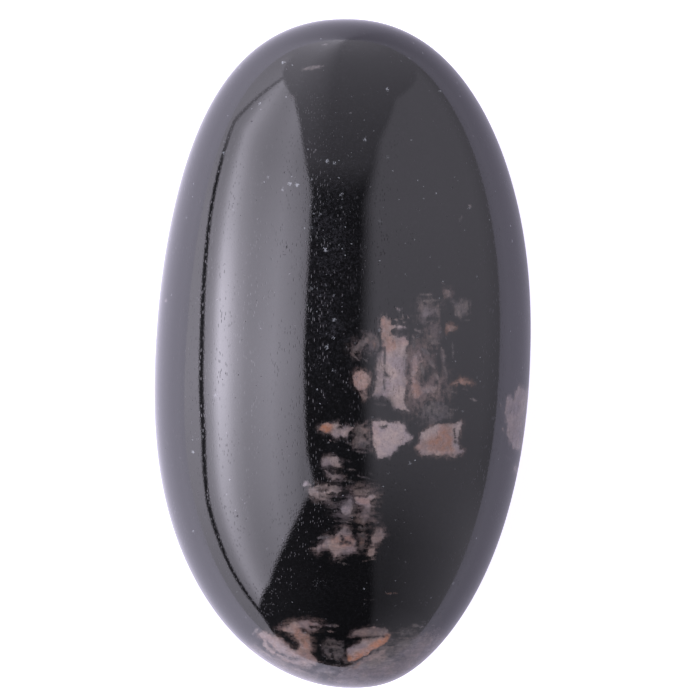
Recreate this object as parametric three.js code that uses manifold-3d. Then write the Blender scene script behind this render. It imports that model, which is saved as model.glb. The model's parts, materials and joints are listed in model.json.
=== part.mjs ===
// A massage stone: one smooth, elongated pebble of dark rock, with the pale mineral grains that
// come to its polished surface as separate solids, each seated flush in its own pocket.
// X is the width, Y the length and Z the thickness. The stone lies on a small flat at Z = 0.

import * as THREE from 'three';
import { mergeVertices } from 'three/addons/utils/BufferGeometryUtils.js';
import Module from 'manifold-3d';

const wasm = await Module();
wasm.setup();

// ---- Driving dimensions, in millimetres ----

const LENGTH = 70;
const WIDTH = 39.3;
const THICKNESS = 26;
const FLAT_SHARE = 0.25; // the resting flat, as a share of the plan outline
const PLAN_SQUARENESS = 0.17; // 0 makes the outline an ellipse, more makes it squarer
const SWAY = 0.42; // S-shaped bend of the long axis, to each side
const TOE_SHIFT = 0.85; // how far the very tip of the toe sits off the long axis
const TOE_SHARPNESS = 16;
const SHOULDERS = 5; // gentle shoulders round the outline
const SHOULDER_SWELL = 0.0047; // how far they stand out, as a share of the radius
const SHOULDER_TURN = THREE.MathUtils.degToRad(66);
const SEAT_GAP = 0.3; // clearance between a grain and its pocket

const STEPS_AROUND = 56;
const STEPS_ABOVE = 14; // rings from the crown to the widest section
const STEPS_BELOW = 12; // rings from the widest section to the flat

const FLAT_ANGLE = Math.acos(FLAT_SHARE);
const HALF_HEIGHT = THICKNESS / (1 + Math.sin(FLAT_ANGLE));
const WAIST = THICKNESS - HALF_HEIGHT; // height of the widest section
const REACH = LENGTH; // long enough for a prism to pass right out of the stone

// Views of the stone: the directions of an outline's two coordinates, then the way it faces.
const X_AXIS = new THREE.Vector3(1, 0, 0);
const Y_AXIS = new THREE.Vector3(0, 1, 0);
const Z_AXIS = new THREE.Vector3(0, 0, 1);
const CROWN = [X_AXIS, Y_AXIS, Z_AXIS];
const TOE = [X_AXIS, Z_AXIS, Y_AXIS.clone().negate()];
const FLANK = [Y_AXIS, Z_AXIS, X_AXIS];

// ---- Minerals: base colour and surface of each kind ----

const ROCK = { color: 0x17161a, roughness: 0.16 };
const PALE = { color: 0xe2d3cf, roughness: 0.24 }; // pinkish white feldspar
const GREY = { color: 0x8e8c82, roughness: 0.24 }; // greenish grey, veiled by the dark rock
const RUST = { color: 0xc58f72, roughness: 0.26 }; // feldspar stained with iron

// ---- Grains ----

// Outlines are seen from above and measured from the middle of the stone. A grain at the rim
// wraps over it, so it has a second outline, seen from the side, with heights from the waist.

const GRAINS = [
  {
    name: 'heart_grain', look: PALE, depth: 2.6,
    outline: [[3.85, 3.4], [4.15, 3.9], [4.9, 3.5], [5.0, 2.75], [6.5, 2.7], [6.5, 2.4], [5.15, 2.3],
      [5.2, 1.75], [6.6, 1.6], [6.8, 0.9], [6.55, 0.2], [6.7, -0.6], [6.7, -3.2], [6.5, -4.0],
      [6.4, -4.9], [6.95, -6.1], [5.4, -5.95], [4.7, -4.7], [3.05, -4.6], [3.4, -2.6], [3.6, -0.2],
      [4.1, 0.2], [3.95, 1.4]],
  },
  {
    name: 'column_grain', look: PALE, depth: 2.0,
    outline: [[7.1, -0.4], [7.6, -0.05], [8.15, -0.1], [8.25, -0.9], [7.9, -1.3], [7.75, -2.0],
      [7.5, -2.6], [7.7, -3.1], [8.3, -3.4], [9.9, -3.3], [9.5, -4.3], [8.2, -4.5], [7.5, -4.85],
      [7.05, -4.5], [7.0, -3.2], [7.0, -1.2]],
  },
  {
    name: 'side_grain', look: PALE, depth: 1.8,
    outline: [[1.0, -2.7], [1.15, -2.0], [1.9, -1.7], [3.0, -2.2], [2.9, -3.2], [2.5, -3.8],
      [2.6, -4.7], [2.15, -4.9], [1.75, -4.0], [1.2, -3.4]],
  },
  {
    name: 'arch_grain', look: GREY, depth: 1.4,
    outline: [[1.0, 0.35], [2.2, 1.6], [3.2, 1.55], [3.65, 0.9], [3.25, 0.0], [2.85, 0.75],
      [2.2, 0.6], [1.6, -0.1], [1.1, -0.05]],
  },
  {
    name: 'rust_speck', look: RUST, depth: 1.2,
    outline: [[10.5, 2.4], [10.65, 2.85], [11.2, 2.9], [11.75, 2.6], [11.4, 2.1], [10.8, 2.0]],
  },
  {
    name: 'crown_fleck', look: GREY, depth: 1.2,
    outline: [[10.45, 6.45], [11.0, 6.6], [11.3, 6.2], [11.1, 5.65], [10.7, 5.6], [10.4, 5.95]],
  },
  {
    name: 'shoulder_fleck', look: GREY, depth: 1.3,
    outline: [[11.3, 5.2], [12.0, 5.0], [12.3, 5.35], [13.05, 5.3], [12.95, 3.9], [12.2, 3.6],
      [11.6, 3.75], [11.5, 4.5]],
  },
  {
    name: 'upper_fleck', look: GREY, depth: 1.3,
    outline: [[8.1, 3.5], [8.15, 4.8], [8.9, 4.95], [9.0, 4.3], [9.7, 4.6], [9.6, 4.1],
      [8.9, 3.6], [8.5, 3.3]],
  },
  {
    name: 'middle_fleck', look: PALE, depth: 1.2,
    outline: [[8.8, 2.4], [9.1, 2.7], [9.6, 2.8], [9.7, 2.4], [9.35, 1.75], [9.05, 1.75]],
  },
  {
    name: 'lens_grain', look: RUST, depth: 1.2,
    outline: [[11.0, -3.35], [11.5, -3.05], [12.2, -2.65], [12.8, -2.75], [13.6, -3.3], [12.4, -3.4]],
  },
  {
    name: 'veil_grain', look: GREY, depth: 1.3,
    outline: [[8.5, -6.35], [8.7, -5.6], [9.1, -5.2], [9.7, -5.5], [10.3, -6.0], [10.5, -6.5],
      [9.8, -6.8], [9.1, -6.65]],
  },
  {
    name: 'band_left_grain', look: PALE, depth: 1.8,
    outline: [[-2.55, -7.9], [-2.1, -7.35], [-1.3, -7.15], [-0.4, -7.2], [0.0, -7.5], [0.95, -7.55],
      [0.9, -8.1], [0.6, -8.75], [-0.7, -8.85], [-1.2, -8.4], [-2.1, -8.15]],
  },
  {
    name: 'band_middle_grain', look: GREY, depth: 1.8,
    outline: [[1.35, -7.5], [2.6, -7.15], [2.8, -8.2], [2.8, -9.4], [3.0, -10.1], [2.2, -9.9],
      [1.2, -9.8], [1.25, -8.6]],
  },
  {
    name: 'band_heart_grain', look: PALE, depth: 2.4,
    outline: [[2.95, -7.0], [4.0, -7.0], [5.9, -7.2], [6.5, -7.4], [6.7, -8.0], [7.3, -8.7],
      [7.0, -9.1], [5.4, -10.3], [5.0, -10.75], [3.6, -10.85], [3.3, -9.8], [3.1, -9.2]],
  },
  {
    name: 'band_rust_grain', look: RUST, depth: 2.4,
    outline: [[7.45, -9.75], [7.7, -9.1], [8.0, -8.2], [8.8, -7.7], [9.5, -7.4], [11.6, -7.3],
      [12.2, -7.0], [12.4, -7.4], [12.1, -8.4], [11.95, -9.5], [12.6, -10.2], [12.2, -10.7],
      [11.5, -10.8], [8.1, -10.65], [7.8, -10.1]],
  },
  {
    name: 'step_upper_grain', look: PALE, depth: 1.5,
    outline: [[-2.2, -11.6], [-2.1, -10.95], [-1.5, -10.6], [-0.5, -10.6], [-0.1, -11.0],
      [-0.1, -11.75], [-1.9, -11.8]],
  },
  {
    name: 'step_lower_grain', look: PALE, depth: 1.4,
    outline: [[-1.75, -12.15], [-1.2, -12.15], [0.1, -12.55], [0.3, -13.1], [-1.1, -13.25],
      [-1.6, -12.9]],
  },
  {
    name: 'kink_grain', look: PALE, depth: 1.6,
    outline: [[-3.4, -14.0], [-2.6, -13.6], [-0.3, -13.65], [-0.1, -14.2], [-0.6, -14.65],
      [-1.2, -14.8], [-1.1, -15.45], [-1.8, -15.2], [-2.9, -15.1], [-3.3, -14.6]],
  },
  {
    name: 'ladder_grain', look: GREY, depth: 1.6,
    outline: [[1.0, -14.15], [2.2, -13.9], [3.1, -14.1], [3.4, -14.8], [2.95, -15.3], [3.1, -17.1],
      [2.1, -17.7], [1.6, -17.1], [1.9, -16.0], [1.4, -15.4]],
  },
  {
    name: 'ladder_side_grain', look: GREY, depth: 1.4,
    outline: [[-0.6, -15.9], [0.2, -15.7], [0.6, -14.9], [0.9, -15.0], [1.1, -16.0], [0.9, -16.7],
      [0.4, -16.9], [-0.2, -16.5]],
  },
  {
    name: 'star_grain', look: PALE, depth: 2.2,
    outline: [[-2.9, -20.2], [-1.9, -19.45], [-1.7, -18.95], [-0.8, -18.8], [-0.4, -18.2],
      [0.2, -17.75], [0.9, -18.4], [1.4, -19.4], [1.45, -20.5], [0.1, -20.9], [-0.75, -21.3],
      [-1.2, -20.8], [-1.35, -20.3], [-2.6, -20.6]],
  },
  {
    name: 'star_side_grain', look: GREY, depth: 1.6,
    outline: [[1.5, -18.6], [2.3, -18.4], [2.6, -19.0], [2.5, -19.7], [2.1, -20.5], [1.75, -20.2],
      [1.7, -19.3]],
  },
  {
    name: 'leaf_grain', look: PALE, depth: 1.6,
    outline: [[4.15, -17.8], [4.55, -18.7], [3.9, -19.6], [3.35, -20.0], [3.5, -20.6], [3.2, -20.95],
      [2.5, -20.9], [2.85, -19.7], [3.0, -18.9], [3.5, -18.2]],
  },
  {
    name: 'toe_left_grain', look: PALE, depth: 2.4,
    outline: [[-8.8, -29.3], [-8.0, -28.9], [-6.2, -29.7], [-4.9, -30.8], [-4.5, -30.1],
      [-5.5, -29.1], [-6.8, -28.6], [-5.2, -27.8], [-3.6, -27.6], [-2.0, -28.0], [-2.2, -28.5],
      [-3.2, -28.9], [-3.1, -30.2], [-3.2, -31.2], [-2.4, -32.0], [-2.8, -32.5], [-5.0, -32.2],
      [-7.3, -31.1]],
  },
  {
    name: 'toe_middle_grain', look: GREY, depth: 1.5,
    outline: [[-2.05, -30.3], [-1.5, -29.7], [0.1, -30.0], [0.15, -31.6], [-0.6, -31.9],
      [-1.7, -31.85]],
  },
  {
    name: 'toe_rust_grain', look: RUST, depth: 2.2,
    outline: [[0.5, -32.2], [0.45, -30.6], [1.6, -30.1], [2.0, -29.5], [0.8, -29.4], [1.2, -28.75],
      [2.6, -28.4], [3.8, -28.3], [4.7, -28.7], [5.1, -29.25], [4.2, -30.3], [2.8, -31.2],
      [1.5, -31.9]],
  },
  {
    name: 'toe_fleck', look: GREY, depth: 1.3,
    outline: [[5.7, -29.2], [6.2, -28.7], [7.4, -28.5], [7.2, -29.15], [6.2, -29.4]],
  },
  {
    name: 'toe_rim_grain', look: PALE, depth: 2.2,
    outline: [[0.1, -33.2], [0.7, -32.6], [2.4, -32.0], [4.4, -30.9], [5.0, -31.7], [6.0, -31.2],
      [7.0, -30.2], [9.4, -29.5], [11.5, -31.0], [6.5, -36.5], [-1.0, -36.5], [-0.8, -34.2]],
    side: {
      view: TOE,
      outline: [[-1.4, 8.5], [-0.9, 1.2], [0.6, -2.0], [2.9, -3.6], [5.6, -2.9], [7.4, -0.6],
        [9.6, 1.0], [12.0, 3.4], [11.6, 8.5]],
    },
  },
  {
    name: 'toe_corner_grain', look: PALE, depth: 1.8,
    outline: [[-9.0, -30.5], [-7.2, -31.5], [-5.0, -32.6], [-2.8, -33.4], [-1.9, -34.3],
      [-2.4, -36.5], [-8.5, -36.5], [-11.5, -31.5]],
    side: {
      view: TOE,
      outline: [[-12.0, 8.5], [-10.7, 2.6], [-8.6, 0.4], [-6.6, -2.4], [-4.4, -1.6], [-2.6, 0.8],
        [-1.8, 8.5]],
    },
  },
  {
    name: 'flank_grain', look: PALE, depth: 2.0,
    outline: [[18.3, -3.3], [17.9, -4.0], [17.7, -4.8], [17.35, -4.4], [16.95, -4.6], [16.65, -6.2],
      [16.9, -7.4], [17.0, -8.4], [17.3, -9.4], [17.7, -10.1], [18.4, -10.4], [20.6, -10.2],
      [20.6, -3.6], [18.9, -3.8]],
    side: {
      view: FLANK,
      outline: [[-3.0, 9.0], [-3.4, 2.2], [-4.3, -0.9], [-5.9, -3.2], [-7.6, -2.2], [-8.7, -3.0],
        [-9.9, 0.3], [-10.8, 3.4], [-10.8, 9.0]],
    },
  },
  {
    name: 'flank_fleck', look: PALE, depth: 1.4,
    outline: [[17.6, -11.9], [18.1, -11.6], [20.2, -11.8], [20.2, -13.1], [18.2, -13.0],
      [17.9, -12.5]],
    side: {
      view: FLANK,
      outline: [[-11.5, 8.0], [-11.7, 1.4], [-12.3, -0.6], [-13.0, 1.0], [-13.3, 8.0]],
    },
  },
];

// ---- The stone's form ----

function signedPower(value, power) {
  return Math.sign(value) * Math.abs(value) ** power;
}

// Half of the section, from the flat up to the crown, for a stone of unit size.
function sectionProfile() {
  const points = [new THREE.Vector2(0, -Math.sin(FLAT_ANGLE))];
  const add = (angle) => points.push(new THREE.Vector2(Math.cos(angle), Math.sin(angle)));
  for (let i = STEPS_BELOW; i > 0; i--) add((-FLAT_ANGLE * i) / STEPS_BELOW);
  for (let i = 0; i < STEPS_ABOVE; i++) add((Math.PI / 2) * (i / STEPS_ABOVE));
  points.push(new THREE.Vector2(0, 1));
  return points;
}

// How far the long axis is bent to the side at a place along the length, from -1 to 1.
function sideShift(along) {
  const toe = along < 0 ? TOE_SHIFT * Math.min(1, -along) ** TOE_SHARPNESS : 0;
  return SWAY * Math.sin(Math.PI * along) + toe;
}

// The stone's surface, or the same surface lying a given depth inside it.
function stoneGeometry(inset) {
  const geometry = new THREE.LatheGeometry(sectionProfile(), STEPS_AROUND);
  geometry.rotateX(Math.PI / 2);
  const position = geometry.getAttribute('position');
  for (let i = 0; i < position.count; i++) {
    const radius = Math.hypot(position.getX(i), position.getY(i));
    const angle = Math.atan2(position.getY(i), position.getX(i));
    const power = 2 / (2 + PLAN_SQUARENESS * radius ** 2);
    const shoulder = SHOULDER_SWELL * radius ** 2 * Math.cos(SHOULDERS * angle + SHOULDER_TURN);
    const across = radius * (1 + shoulder) * signedPower(Math.cos(angle), power);
    const along = radius * (1 + shoulder) * signedPower(Math.sin(angle), power);
    position.setXYZ(
      i,
      across * (WIDTH / 2 - inset) + sideShift(along),
      along * (LENGTH / 2 - inset),
      WAIST + position.getZ(i) * (HALF_HEIGHT - inset),
    );
  }
  return geometry;
}

// ---- Solids ----

function solidFrom(geometry) {
  geometry.deleteAttribute('normal');
  geometry.deleteAttribute('uv');
  const merged = mergeVertices(geometry, 1e-4);
  const corners = merged.index.array;
  const kept = [];
  for (let i = 0; i < corners.length; i += 3) {
    const [a, b, c] = corners.slice(i, i + 3);
    if (a !== b && b !== c && c !== a) kept.push(a, b, c);
  }
  return new wasm.Manifold(new wasm.Mesh({
    numProp: 3,
    vertProperties: new Float32Array(merged.getAttribute('position').array),
    triVerts: new Uint32Array(kept),
  }));
}

function meshFrom(solid, name, look) {
  const result = solid.getMesh();
  const geometry = new THREE.BufferGeometry();
  geometry.setAttribute('position', new THREE.BufferAttribute(result.vertProperties, 3));
  geometry.setIndex(new THREE.BufferAttribute(result.triVerts, 1));
  geometry.computeVertexNormals();
  const mesh = new THREE.Mesh(geometry, new THREE.MeshStandardMaterial({ ...look, metalness: 0 }));
  mesh.name = name;
  return mesh;
}

// Moves each side of an outline outwards by a gap; sharp corners reach at most twice as far.
function grow(outline, gap) {
  const turn = Math.sign(THREE.ShapeUtils.area(outline));
  const sideNormal = (from, to) => {
    const side = to.clone().sub(from).normalize();
    return new THREE.Vector2(side.y, -side.x).multiplyScalar(turn);
  };
  return outline.map((corner, i) => {
    const before = sideNormal(outline.at(i - 1), corner);
    const after = sideNormal(corner, outline[(i + 1) % outline.length]);
    const outwards = before.clone().add(after).normalize();
    const reach = Math.min(gap / outwards.dot(before), 2 * gap);
    return corner.clone().addScaledVector(outwards, reach);
  });
}

// A prism over an outline, facing a view, that starts at a distance from the middle of the waist.
function prism(outline, view, start) {
  const geometry = new THREE.ExtrudeGeometry(new THREE.Shape(outline), {
    depth: REACH,
    bevelEnabled: false,
  });
  geometry.translate(0, 0, start);
  geometry.applyMatrix4(new THREE.Matrix4().makeBasis(...view));
  geometry.translate(0, 0, WAIST);
  return solidFrom(geometry);
}

// The space that a grain's outlines enclose, grown by a gap.
function envelope(grain, gap) {
  const grown = (points) => grow(points.map(([x, y]) => new THREE.Vector2(x, y)), gap);
  if (!grain.side) return prism(grown(grain.outline), CROWN, -gap);
  return prism(grown(grain.outline), CROWN, -WAIST).intersect(
    prism(grown(grain.side.outline), grain.side.view, 0),
  );
}

function grainParts(grain) {
  const core = solidFrom(stoneGeometry(grain.depth));
  const seat = solidFrom(stoneGeometry(grain.depth + SEAT_GAP));
  return {
    body: envelope(grain, 0).intersect(stone).subtract(core),
    pocket: envelope(grain, SEAT_GAP).subtract(seat),
  };
}

// ---- The assembly ----

const stone = solidFrom(stoneGeometry(0));
const massageStone = new THREE.Group();

let host = stone;
for (const grain of GRAINS) {
  const { body, pocket } = grainParts(grain);
  host = host.subtract(pocket);
  massageStone.add(meshFrom(body, grain.name, grain.look));
}
massageStone.add(meshFrom(host, 'stone_body', ROCK));

export default massageStone;
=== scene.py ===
import json
import math

import bmesh
import bpy
import numpy as np
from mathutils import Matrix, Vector, noise
from mathutils.bvhtree import BVHTree


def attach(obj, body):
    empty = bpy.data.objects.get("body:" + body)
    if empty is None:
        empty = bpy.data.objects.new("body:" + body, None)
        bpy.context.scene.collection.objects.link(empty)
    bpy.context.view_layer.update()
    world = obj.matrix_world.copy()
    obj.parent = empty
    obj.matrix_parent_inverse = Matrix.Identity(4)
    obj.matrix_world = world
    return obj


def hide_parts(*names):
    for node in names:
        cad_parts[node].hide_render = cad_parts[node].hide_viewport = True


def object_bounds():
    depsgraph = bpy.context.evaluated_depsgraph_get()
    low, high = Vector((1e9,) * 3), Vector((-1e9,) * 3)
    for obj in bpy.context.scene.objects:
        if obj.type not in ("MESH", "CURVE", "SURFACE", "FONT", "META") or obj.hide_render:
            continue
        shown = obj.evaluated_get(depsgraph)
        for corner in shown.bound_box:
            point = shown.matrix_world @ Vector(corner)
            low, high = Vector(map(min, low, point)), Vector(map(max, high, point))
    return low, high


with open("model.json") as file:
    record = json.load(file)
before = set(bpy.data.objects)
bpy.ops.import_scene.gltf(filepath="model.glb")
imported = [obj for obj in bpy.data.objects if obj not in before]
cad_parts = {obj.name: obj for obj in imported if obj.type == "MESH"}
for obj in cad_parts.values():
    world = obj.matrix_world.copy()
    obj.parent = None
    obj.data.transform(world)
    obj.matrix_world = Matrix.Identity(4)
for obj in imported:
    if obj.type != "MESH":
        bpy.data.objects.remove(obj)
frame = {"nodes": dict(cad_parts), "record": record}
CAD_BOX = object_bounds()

# Lengths are in millimetres until a mesh is made; Blender's own units are metres.
MM = 0.001

# ---- The stone's form, as in the CAD ----

PLAN_SQUARENESS = 0.17
SWAY = 0.42
TOE_SHIFT = 0.85
TOE_SHARPNESS = 16
SHOULDERS = 5
SHOULDER_SWELL = 0.0047
SHOULDER_TURN = math.radians(66)
FLAT_SHARE = 0.25  # the resting flat, as a share of the plan outline
FOOT_BLEND = 0.1  # softness of the flat's rim
WAVE_DEPTH = 0.004  # the hand polish leaves very shallow waves
WAVE_LENGTH = 5.0
WAVE_SEED = 9

# ---- Grains in their pockets ----

SURFACE_REACH = 0.13  # a CAD corner this near the surface lies on it
FIELD_REACH = 2.5  # distances to a grain are measured this far out
POCKET_DEPTH = 1.6
POCKET_SLOPE = 1.0  # distance from the rim over which a pocket deepens
POCKET_LEAST = 0.04  # the least distance from the rim that a pocket's depth counts from
POCKET_GAP = 0.12  # clearance under a grain
RAGGED = ((1.1, 0.10), (2.7, 0.05))  # waves per millimetre, and how far they move a rim
SPHERE_SPLITS = 7
REFINE = ((0.9, 0.35), (0.45, 0.2), (0.16, 0.12))  # band round the rims, longest edge in it
SNAP = 0.2  # a rim this near a corner, as a share of the edge, runs through the corner
CHORD_PASSES = 3  # the most times that edges from rim to rim are split
INSIDE = 0.97  # a point nearer a grain's skin than this share of its rim distance is inside
UPPER_SHARE = 0.35  # marks and dust are drawn above this share of the thickness

# How rusty each grain is, and how much of it the dark rock's skin hides.
LOOKS = {
    "heart_grain": (0.12, 0.10),
    "column_grain": (0.30, 0.25),
    "side_grain": (0.32, 0.22),
    "arch_grain": (0.12, 0.74),
    "rust_speck": (0.75, 0.50),
    "crown_fleck": (0.35, 0.64),
    "shoulder_fleck": (0.10, 0.72),
    "upper_fleck": (0.15, 0.60),
    "middle_fleck": (0.25, 0.62),
    "lens_grain": (0.75, 0.36),
    "veil_grain": (0.05, 0.82),
    "band_left_grain": (0.12, 0.30),
    "band_middle_grain": (0.12, 0.70),
    "band_heart_grain": (0.08, 0.0),
    "band_rust_grain": (0.38, 0.30),
    "step_upper_grain": (0.10, 0.42),
    "step_lower_grain": (0.12, 0.50),
    "kink_grain": (0.10, 0.48),
    "ladder_grain": (0.20, 0.64),
    "ladder_side_grain": (0.08, 0.74),
    "star_grain": (0.18, 0.38),
    "star_side_grain": (0.25, 0.80),
    "leaf_grain": (0.25, 0.46),
    "toe_left_grain": (0.32, 0.42),
    "toe_middle_grain": (0.08, 0.80),
    "toe_rust_grain": (0.25, 0.55),
    "toe_fleck": (0.05, 0.80),
    "toe_rim_grain": (0.10, 0.62),
    "toe_corner_grain": (0.10, 0.66),
    "flank_grain": (0.15, 0.40),
    "flank_fleck": (0.10, 0.40),
}
# Round a grain, feldspar shows softly through the rock's skin: how far, in mm, and how strongly.
HALO = (0.3, 0.30)
HALOS = {
    "column_grain": (1.6, 0.50),
    "arch_grain": (0.6, 0.36),
    "upper_fleck": (0.8, 0.40),
    "middle_fleck": (0.8, 0.36),
    "veil_grain": (1.0, 0.42),
    "kink_grain": (0.4, 0.34),
    "ladder_grain": (0.7, 0.38),
    "ladder_side_grain": (0.8, 0.42),
    "star_grain": (0.5, 0.34),
    "toe_left_grain": (0.4, 0.32),
    "toe_rim_grain": (1.6, 0.50),
    "toe_corner_grain": (1.0, 0.40),
}
DUST_MIDDLE = (-1.4, 9.0)  # where the rock is fullest of pale specks, and how far they spread
DUST_SIZE = (2.6, 11.5)
DUST_CLUMPS = (0.35, 0.8)  # waves per millimetre, and how much they change the dust
DUST_SEED = 5
CRACK_SHARE = 0.6  # a crack's open width, as a share of the width that looks dark
TINT_REACH = 1.5  # how far a tint fades out, in widths of its stroke

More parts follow.
